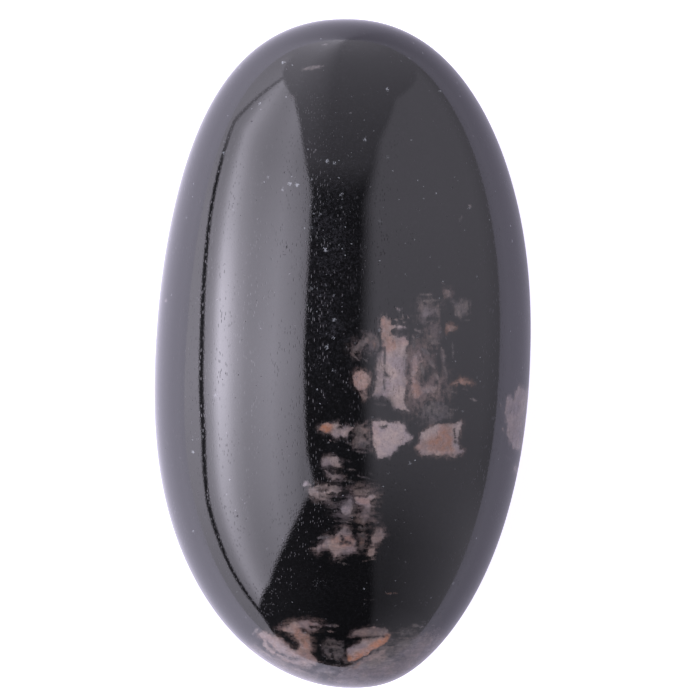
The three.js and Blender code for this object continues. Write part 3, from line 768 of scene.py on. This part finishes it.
class Net:
    """Short ways to add shader nodes to a tree."""

    def __init__(self, tree):
        self.tree = tree
        tree.nodes.clear()

    def add(self, kind, **settings):
        node = self.tree.nodes.new(kind)
        for key, value in settings.items():
            setattr(node, key, value)
        return node

    def feed(self, socket, value):
        if isinstance(value, bpy.types.NodeSocket):
            self.tree.links.new(value, socket)
        elif value is not None:
            socket.default_value = value

    def math(self, operation, a, b=None, c=None, clamp=False):
        node = self.add("ShaderNodeMath", operation=operation, use_clamp=clamp)
        for socket, value in zip(node.inputs, (a, b, c)):
            self.feed(socket, value)
        return node.outputs[0]

    def vector(self, operation, a, b=None, scale=None):
        node = self.add("ShaderNodeVectorMath", operation=operation)
        self.feed(node.inputs[0], a)
        self.feed(node.inputs[1], b)
        if scale is not None:
            node.inputs["Scale"].default_value = scale
        return node.outputs["Vector"]

    def split(self, value, kind="ShaderNodeSeparateXYZ"):
        """A node whose outputs are the parts of a place or a colour."""
        node = self.add(kind)
        self.feed(node.inputs[0], value)
        return node

    def span(self, value, low, high, to_low=0.0, to_high=1.0, smooth=True):
        node = self.add("ShaderNodeMapRange")
        node.interpolation_type = "SMOOTHSTEP" if smooth else "LINEAR"
        for socket, item in zip(node.inputs, (value, low, high, to_low, to_high)):
            self.feed(socket, item)
        return node.outputs[0]

    def curve(self, value, points):
        """A line through (input, output) points, for outputs of any size."""
        low, high = points[0][0], points[-1][0]
        floor = min(p[1] for p in points)
        reach = max(p[1] for p in points) - floor
        ramp = self.add("ShaderNodeValToRGB")
        self.feed(ramp.inputs[0], self.span(value, low, high, smooth=False))
        stops = ramp.color_ramp.elements
        while len(stops) < len(points):
            stops.new(0.5)
        for stop, (at, level) in zip(stops, points):
            stop.position = (at - low) / (high - low)
            stop.color = ((level - floor) / reach,) * 3 + (1,)
        return self.math("MULTIPLY_ADD", ramp.outputs[0], reach, floor)

    def mix(self, share, a, b):
        node = self.add("ShaderNodeMix", data_type="RGBA")
        self.feed(node.inputs["Factor"], share)
        for name, value in (("A", a), ("B", b)):
            socket = next(s for s in node.inputs if s.name == name and s.type == "RGBA")
            self.feed(socket, (*value, 1) if isinstance(value, tuple) else value)
        return next(s for s in node.outputs if s.type == "RGBA")

    def blend(self, share, a, b):
        node = self.add("ShaderNodeMix")
        for socket, value in zip((node.inputs["Factor"], *node.inputs[2:4]), (share, a, b)):
            self.feed(socket, value)
        return node.outputs[0]

    def noise(self, place, scale, detail=2.0, roughness=0.5, distortion=0.0):
        node = self.add("ShaderNodeTexNoise")
        self.feed(node.inputs["Vector"], place)
        for name, value in (("Scale", scale), ("Detail", detail), ("Roughness", roughness),
                            ("Distortion", distortion)):
            node.inputs[name].default_value = value
        return node.outputs[0]

    def cells(self, place, scale, randomness=1.0):
        node = self.add("ShaderNodeTexVoronoi")
        self.feed(node.inputs["Vector"], place)
        node.inputs["Scale"].default_value = scale
        node.inputs["Randomness"].default_value = randomness
        return node

    def field(self, name):
        return self.add("ShaderNodeAttribute", attribute_name=name).outputs["Fac"]


# ---- Materials ----

ROCK = (0.0010, 0.0011, 0.0012)
ROCK_LIGHT = (0.021, 0.0215, 0.0235)
SPECK = (0.15, 0.16, 0.165)
PALE = (0.270, 0.225, 0.204)
LILAC = (0.165, 0.150, 0.163)
RUST = (0.305, 0.138, 0.076)
GLAZE = (0.008, 0.009, 0.0085)
REFRACTION = 1.6

# Noise scales are in waves per millimetre, and cells in cells per millimetre.
RIM_WAVES = ((2.2, 3.0, 0.42), (7.0, 2.0, 0.22))  # scale, detail, and how far they move a rim
RIM_SOFTNESS = 0.05
ALONG_LINES, ACROSS_LINES = 0.55, 3.0  # the noise is drawn out along the cleavage lines
LINES_TURN = (-13.0, -11.0)  # between these places along the stone the lines turn upright
LINE_WIDTH = 0.03
SPECK_SIZES = ((1.3, 0.985, 0.72), (3.1, 0.985, 0.86))  # scale; rarity in clean and dusty rock
PIT_SIZES = ((1.3, 0.965), (3.2, 0.95))  # scale, rarity
PIT_DULLNESS = 0.4
GRAIN_DULLNESS = 0.09
POLISH = (0.016, 0.032)  # the rock's roughness, where it shines most and least
SCRATCH_CELLS = (6.7, 1.4, 6.7)
SCRATCH_RARITY = 0.5
# Relief, in millimetres.
POLISH_RELIEF = 0.0022
LINE_RELIEF = -0.004
PIT_RELIEF = -0.03
SCRATCH_RELIEF = -0.008


def cleavage(net, place):
    """Fine lines and broad bars in the grains: upright above LINES_TURN, and level below."""
    upright = net.vector("MULTIPLY", place, (ACROSS_LINES, ALONG_LINES, 1.0))
    level = net.vector("MULTIPLY", place, (ALONG_LINES, ACROSS_LINES, 1.0))
    height = net.split(place).outputs["Y"]
    side = net.span(height, *LINES_TURN)
    ridges = [net.math("SUBTRACT", net.noise(way, 1.0, 3.0, 0.55, 0.4), 0.5) for way in (level, upright)]
    lines = [net.span(net.math("ABSOLUTE", ridge), LINE_WIDTH, 0.0) for ridge in ridges]
    bars = [net.noise(way, 0.8, 3.0, 0.6) for way in (level, upright)]
    patchy = net.span(net.noise(place, 0.9, 2.0), 0.45, 0.65)
    return net.math("MULTIPLY", net.blend(side, *lines), patchy), net.blend(side, *bars)


def grain_colour(net, place, depth, crack, bars, clouds, dapple):
    """Pale, lilac and rusty feldspar, and how the dark rock dims it."""
    rust, veil = net.field("rust"), net.field("veil")
    colour = net.mix(net.math("MULTIPLY", clouds, 0.75), PALE, LILAC)
    stain = net.span(net.noise(place, 1.6, 4.0, 0.6), 0.3, 0.66)
    stain = net.math("MULTIPLY", rust, net.math("MULTIPLY_ADD", stain, 0.6, 0.45), clamp=True)
    colour = net.mix(stain, colour, RUST)
    # Less light comes out under the dark rock's skin, near the rim, along cracks and where
    # small dark crystals sit in the grain.
    skin = net.math("MULTIPLY_ADD", net.noise(place, 1.5, 4.0, 0.65), 1.5, -0.75)
    skin = net.math("MULTIPLY_ADD", net.math("SUBTRACT", bars, 0.5), 1.3, skin)
    patchiness = net.math("MULTIPLY_ADD", veil, 0.35, 0.2)
    hidden = net.math("MULTIPLY_ADD", skin, patchiness, veil, clamp=True)
    light = net.math("SUBTRACT", 1.0, hidden)
    light = net.math("MULTIPLY", light, net.span(depth, -RIM_SOFTNESS, 0.4, 0.62, 1.0))
    light = net.math("MULTIPLY", light, net.math("MULTIPLY_ADD", crack, -0.6, 1.0))
    pepper = net.span(net.cells(place, 2.3).outputs["Distance"], 0.17, 0.06)
    light = net.math("MULTIPLY", light, net.math("MULTIPLY_ADD", pepper, -0.4, 1.0))
    light = net.math("MULTIPLY", light, dapple)
    return net.mix(light, GLAZE, colour)


def rock_colour(net, place, bars, clouds, dapple, coarse, fine):
    """Near-black rock, mottled and specked, with feldspar showing through its skin."""
    dusty = net.field("dust")
    mottle = net.math("MULTIPLY", net.span(net.noise(place, 2.6, 4.0, 0.75), 0.46, 0.72),
                      net.span(net.noise(place, 0.35, 2.0), 0.3, 0.7, 0.3, 1.0))
    grit = net.span(net.noise(place, 4.6, 3.0, 0.75), 0.46, 0.72, 0.0, 0.75)
    mottle = net.math("MULTIPLY", net.math("MAXIMUM", mottle, grit),
                      net.math("MULTIPLY_ADD", dusty, 0.95, 0.22))
    rock = net.mix(mottle, ROCK, ROCK_LIGHT)

    # Feldspar just under the skin shows as a soft, broken patch.
    haze, blush = net.field("haze"), net.field("blush")
    broken = net.math("ADD", net.math("MULTIPLY", bars, 0.5),
                      net.math("MULTIPLY", net.noise(place, 2.1, 4.0, 0.65), 0.5))
    broken = net.math("MULTIPLY_ADD", haze, 0.34, broken)
    cover = net.span(broken, 0.49, 0.77)
    cover = net.math("MULTIPLY", cover, net.math("MULTIPLY_ADD", haze, 0.64, 0.08))
    cover = net.math("MULTIPLY", cover, dapple)
    cover = net.math("MULTIPLY", cover, net.span(haze, 0.02, 0.12))
    under = net.mix(net.math("MULTIPLY", clouds, 0.9), PALE, LILAC)
    rock = net.mix(cover, rock, net.mix(blush, under, RUST))

    for scale, rarest, commonest in SPECK_SIZES:
        specks = net.cells(place, scale)
        chance = net.split(specks.outputs["Color"], "ShaderNodeSeparateColor")
        limit = net.math("MULTIPLY_ADD", dusty, commonest - rarest, rarest)
        rare = net.math("GREATER_THAN", chance.outputs["Red"], limit)
        outline = net.math("MULTIPLY_ADD", fine, 0.9, specks.outputs["Distance"])
        outline = net.math("MULTIPLY_ADD", coarse, 0.5, outline)
        dot = net.span(outline, 0.27, 0.1)
        dot = net.math("MULTIPLY", dot, net.span(chance.outputs["Blue"], 0.0, 1.0, 0.08, 1.0))
        rock = net.mix(net.math("MULTIPLY", rare, dot), rock, SPECK)
    return rock


def pits(net, place, fine):
    """Small dull pits where crystals have dropped out."""
    pit = 0.0
    for scale, rarest in PIT_SIZES:
        cells = net.cells(place, scale)
        chance = net.split(cells.outputs["Color"], "ShaderNodeSeparateColor")
        here = net.math("GREATER_THAN", chance.outputs["Green"], rarest)
        hollow = net.math("MULTIPLY_ADD", fine, 0.3, cells.outputs["Distance"])
        hollow = net.span(hollow, 0.17, 0.05)
        pit = net.math("MAXIMUM", pit, net.math("MULTIPLY", here, hollow))
    return pit


def scratches(net, place):
    """Short fine scratches that run along the stone, in patches."""
    cells = net.cells(net.vector("MULTIPLY", place, SCRATCH_CELLS), 1.0)
    chance = net.split(cells.outputs["Color"], "ShaderNodeSeparateColor")
    scratch = net.math("GREATER_THAN", chance.outputs["Red"], SCRATCH_RARITY)
    scratch = net.math("MULTIPLY", scratch, net.span(cells.outputs["Distance"], 0.34, 0.08))
    patchy = net.span(net.noise(place, 0.4, 3.0), 0.4, 0.65, 0.25, 1.0)
    return net.math("MULTIPLY", scratch, patchy)


def make_rock(name):
    """Polished dark rock and its pale grains; the rim field says which is where."""
    material = bpy.data.materials.new(name)
    material.use_nodes = True
    net = Net(material.node_tree)
    shader = net.add("ShaderNodeBsdfPrincipled")
    output = net.add("ShaderNodeOutputMaterial")
    net.tree.links.new(shader.outputs[0], output.inputs[0])
    coordinates = net.add("ShaderNodeTexCoord").outputs["Object"]
    place = net.vector("SCALE", coordinates, scale=1 / MM)

    # The rims are ragged down to a tenth of a millimetre.
    rim, veil = net.field("rim"), net.field("veil")
    coarse, fine = (
        net.math("SUBTRACT", net.noise(place, scale, detail, 0.6), 0.5)
        for scale, detail, _ in RIM_WAVES
    )
    ragged = net.math("MULTIPLY_ADD", coarse, RIM_WAVES[0][2], rim)
    ragged = net.math("MULTIPLY_ADD", fine, RIM_WAVES[1][2], ragged)
    depth = net.math("MULTIPLY", ragged, -1.0)
    loose = net.span(net.noise(place, 1.1, 2.0), 0.4, 0.65, 0.0, 0.2)
    fade = net.math("MULTIPLY_ADD", veil, 0.16, net.math("ADD", loose, 0.09))
    grain = net.span(depth, -RIM_SOFTNESS, fade)

    crack, bars = cleavage(net, place)
    clouds = net.span(net.noise(place, 0.55, 3.0, 0.6), 0.36, 0.64)
    dapple = net.span(net.noise(place, 4.5, 2.0, 0.5), 0.3, 0.7, 0.84, 1.08)
    colour = grain_colour(net, place, depth, crack, bars, clouds, dapple)
    rock = rock_colour(net, place, bars, clouds, dapple, coarse, fine)
    net.feed(shader.inputs["Base Color"], net.mix(grain, rock, colour))

    pit = pits(net, place, fine)
    smear = net.span(net.noise(place, 5.0, 3.0, 0.6), 0.35, 0.75, *POLISH)
    gloss = net.math("MAXIMUM", smear, net.math("MULTIPLY", grain, GRAIN_DULLNESS))
    net.feed(shader.inputs["Roughness"], net.math("MULTIPLY_ADD", pit, PIT_DULLNESS, gloss))
    shader.inputs["IOR"].default_value = REFRACTION

    lines = net.math("MULTIPLY", net.math("MULTIPLY", crack, grain), LINE_RELIEF)
    relief = net.math("MULTIPLY_ADD", net.noise(place, 6.0, 2.0, 0.6), POLISH_RELIEF, lines)
    relief = net.math("MULTIPLY_ADD", pit, PIT_RELIEF, relief)
    relief = net.math("MULTIPLY_ADD", scratches(net, place), SCRATCH_RELIEF, relief)
    bump = net.add("ShaderNodeBump")
    bump.inputs["Strength"].default_value = 1.0
    bump.inputs["Distance"].default_value = MM
    net.feed(bump.inputs["Height"], relief)
    net.feed(shader.inputs["Normal"], bump.outputs[0])
    return material


MATERIALS = {slot: make_rock(slot) for slot in sorted(set(SLOTS.values()))}

# ---- Pieces ----

for index, grain in enumerate(grains):
    mine = faces[label == index]
    used = np.unique(mine)
    local = np.full(len(unit), -1)
    local[used] = np.arange(len(used))
    under = used[~rim[used]]
    below = local.copy()
    below[under] = len(used) + np.arange(len(under))
    sunk = points[under] - normals[under] * depth[under, None]
    add_piece(
        grain.node + "_inlay",
        np.concatenate([points[used], sunk]),
        np.concatenate([local[mine], below[mine][:, ::-1]]),
        np.concatenate([normals[used], -normals[under]]),
        {k: v[np.concatenate([used, under])] for k, v in fields.items()},
        grain.slot,
        grain.node,
    )

covered = np.zeros(len(unit), bool)
covered[faces[label >= 0].ravel()] = True
covered &= ~on_rim(faces, np.minimum(label, 0), len(unit))
pocket = np.where(covered, depth + POCKET_GAP * (1 - np.exp(-depth / POCKET_GAP)), 0)
add_piece("stone_rock", points - normals * pocket[:, None], faces, normals, fields,
          SLOTS[HOST], HOST)

# ---- Floor ----

FLOOR_SIZE = 3.0  # metres
# The floor's glow along X is painted light: brightest on the left, under the soft box, and dimmest just
# right of the stone, where it paints the stone's shadow. This light also reaches the stone and shows in
# its reflections.
FLOOR_PAINTED_LIGHT = ((-0.12, 1.7), (-0.05, 1.4), (-0.01, 0.9), (0.015, 0.25), (0.04, 0.25), (0.1, 0.5))
FLOOR_LIFT = 0.6  # how much brighter the floor is to the eye than in the stone's reflections
PAPER = (0.50, 0.485, 0.55, 1)
PAINTED_LIGHT_TINT = (1.0, 0.965, 1.16, 1)
PAPER_ROUGHNESS = 0.9
PAPER_SHINE = 0.1

floor_mesh = bpy.data.meshes.new("floor")
half = FLOOR_SIZE / 2
floor_mesh.from_pydata([(-half, -half, 0), (half, -half, 0), (half, half, 0), (-half, half, 0)],
                       [], [(0, 1, 2, 3)])
floor = bpy.data.objects.new("floor", floor_mesh)
bpy.context.scene.collection.objects.link(floor)
paper = bpy.data.materials.new("paper")
paper.use_nodes = True
net = Net(paper.node_tree)
shader = net.add("ShaderNodeBsdfPrincipled")
net.tree.links.new(shader.outputs[0], net.add("ShaderNodeOutputMaterial").inputs[0])
shader.inputs["Base Color"].default_value = PAPER
across = net.split(net.add("ShaderNodeTexCoord").outputs["Object"]).outputs["X"]
shader.inputs["Emission Color"].default_value = PAINTED_LIGHT_TINT
seen_directly = net.add("ShaderNodeLightPath").outputs["Is Camera Ray"]
# The floor's emission: painted light and a painted shadow of the stone along X, plus an even lift that
# only the camera sees.
strength = net.math("MULTIPLY_ADD", seen_directly, FLOOR_LIFT, net.curve(across, FLOOR_PAINTED_LIGHT))
net.feed(shader.inputs["Emission Strength"], strength)
shader.inputs["Roughness"].default_value = PAPER_ROUGHNESS
shader.inputs["Specular IOR Level"].default_value = PAPER_SHINE
floor_mesh.materials.append(paper)

# ---- Studio light ----

# The studio round the stone, by direction: "lean" is the angle from straight up towards the
# left and "rise" the angle towards the back. A tall soft box stands on the left, a pale wall
# on the right and behind, and the ceiling above the camera is dark.
BOX_INNER = ((-90, 110), (-47, 70), (-40, 46), (-30, 28), (-19, 11), (-14, 14), (0, 16), (24, 16),
             (40, 27), (47, 35), (57, 62), (90, 110))
BOX_OUTER = ((-90, 70), (-47, 71), (-34, 75), (-20, 76), (-8, 72), (4, 75), (18, 81), (34, 84),
             (42, 73), (58, 52), (90, 46))
BOX_LEVEL = ((0, 2.2), (16, 2.3), (20, 3.2), (30, 4.5), (40, 4.0), (60, 4.6), (70, 3.7), (90, 3.1),
             (120, 2.6), (180, 2.6))
BOX_FALL = ((-90, 0.6), (-45, 0.6), (-30, 0.68), (-15, 0.85), (0, 1.0), (15, 0.9), (30, 0.72),
            (45, 0.75), (60, 0.75), (90, 0.6))
BOX_SOFTNESS = (-0.4, 0.5)  # degrees either side of the inner edge
HOT_LEVEL = ((0, 0), (44, 0), (50, 1.4), (56, 4.6), (60.5, 5.2), (66, 1.0), (70, 0), (180, 0))
HOT_FALL = ((-90, 0), (-50, 0.15), (-32, 0.3), (-15, 0.6), (0, 1.0), (8, 1.0), (18, 0.5),
            (32, 0.3), (50, 0.1), (90, 0))
HOT_EDGE = 74.0  # where the outer edge stands when the bright band is in its own place
HOT_FOLLOW = (30.0, 60.0, 0.0, 0.5)  # over which leans the band follows that edge, and how much
FRAME_HALF = 2.6  # half the width of the box's dark frame
FRAME_CORE = 0.6  # the share of it that is fully dark
FRAME_DARKNESS = 0.94
WALL_EDGE = ((-90, -40), (-42, -22), (-22, -16), (0, -11), (22, -11), (35, -17), (48, -34),
             (54, -70), (90, -170))
WALL_SOFTNESS = (-6.5, 3.5)
WALL_LEVEL = ((-90, 0.9), (-60, 0.5), (-45, 0.33), (-30, 0.42), (-10, 0.88), (0, 1.0), (20, 1.1),
              (60, 1.1), (90, 1.3))
WALL_FALL = ((-180, 0.75), (-100, 0.8), (-88, 0.75), (-75, 0.95), (-50, 1.02), (0, 1.0))
LOW_FALL = ((-180, 1.6), (-140, 2.3), (-110, 2.3), (-90, 2.0), (-70, 1.6), (-50, 1.2),
            (-30, 0.75), (0, 0.6))
LOW_RISE = (-12.0, -32.0)  # over which rises the wall's fall passes into the low one
BACK_LEVEL = ((-90, 0.03), (-20, 0.07), (20, 0.07), (24, 0.1), (30, 0.5), (50, 0.8), (70, 1.05),
              (90, 1.5))
BACK_FALL = ((-180, 1), (8, 1), (20, 1.4), (40, 1.9), (90, 2.1), (180, 2.1))
STUDIO_TINT = (1.0, 0.955, 1.11, 1)

world = bpy.data.worlds.new("studio")
world.use_nodes = True
bpy.context.scene.world = world
net = Net(world.node_tree)
way = net.split(net.add("ShaderNodeTexCoord").outputs["Generated"])
to_left = net.math("MULTIPLY", way.outputs["X"], -1.0)
lean = net.math("DEGREES", net.math("ARCTAN2", to_left, way.outputs["Z"]))
rise = net.math("DEGREES", net.math("ARCSINE", way.outputs["Y"]))

# The soft box: its panel, the bright band down it and its dark frame.
past_inner = net.math("SUBTRACT", lean, net.curve(rise, BOX_INNER))
past_outer = net.math("SUBTRACT", lean, net.curve(rise, BOX_OUTER))
outward = net.math("SUBTRACT", net.curve(rise, BOX_OUTER), HOT_EDGE)
placed = net.math("MULTIPLY", outward, net.span(lean, *HOT_FOLLOW))
placed = net.math("SUBTRACT", lean, placed)
box = net.math("MULTIPLY", net.curve(placed, BOX_LEVEL), net.curve(rise, BOX_FALL))
hot = net.math("MULTIPLY", net.curve(placed, HOT_LEVEL), net.curve(rise, HOT_FALL))
box = net.math("ADD", box, hot)
box = net.math("MULTIPLY", box, net.span(past_inner, *BOX_SOFTNESS))
frame_line = net.span(net.math("ABSOLUTE", past_outer), FRAME_HALF, FRAME_HALF * FRAME_CORE, 0.0,
                      FRAME_DARKNESS)
box = net.math("MULTIPLY", box, net.math("SUBTRACT", 1.0, frame_line))

# The wall on the right, and the back.
past_edge = net.math("SUBTRACT", net.curve(rise, WALL_EDGE), lean)
fall = net.blend(net.span(rise, *LOW_RISE), net.curve(lean, WALL_FALL), net.curve(lean, LOW_FALL))
wall = net.math("MULTIPLY", net.curve(rise, WALL_LEVEL), fall)
wall = net.math("MULTIPLY", net.span(past_edge, *WALL_SOFTNESS), wall)
back = net.math("MULTIPLY", net.curve(rise, BACK_LEVEL), net.curve(lean, BACK_FALL))
level = net.math("MAXIMUM", box, net.math("MAXIMUM", wall, back))
glow = net.add("ShaderNodeBackground")
glow.inputs["Color"].default_value = STUDIO_TINT
net.feed(glow.inputs["Strength"], level)
net.tree.links.new(glow.outputs[0], net.add("ShaderNodeOutputWorld").inputs[0])

# ---- Camera ----

CAMERA_OFFSET = (0.785, 0.21)
CAMERA_RISE = 600.0  # above the stone's waist
VIEW_WIDTH = 73.2  # what the camera sees across at the waist
SENSOR = 36.0
CLIP = (0.01, 10.0)  # metres

camera = bpy.data.objects.new("camera", bpy.data.cameras.new("camera"))
bpy.context.scene.collection.objects.link(camera)
bpy.context.scene.camera = camera
waist = CAD_HIGH[2] * (1 - HALF_HEIGHT)
camera.location = (CAMERA_OFFSET[0] * MM, CAMERA_OFFSET[1] * MM, (waist + CAMERA_RISE) * MM)
camera.data.sensor_width = SENSOR
camera.data.lens = SENSOR * CAMERA_RISE / VIEW_WIDTH
camera.data.clip_start, camera.data.clip_end = CLIP
bpy.context.scene.view_settings.view_transform = "Standard"
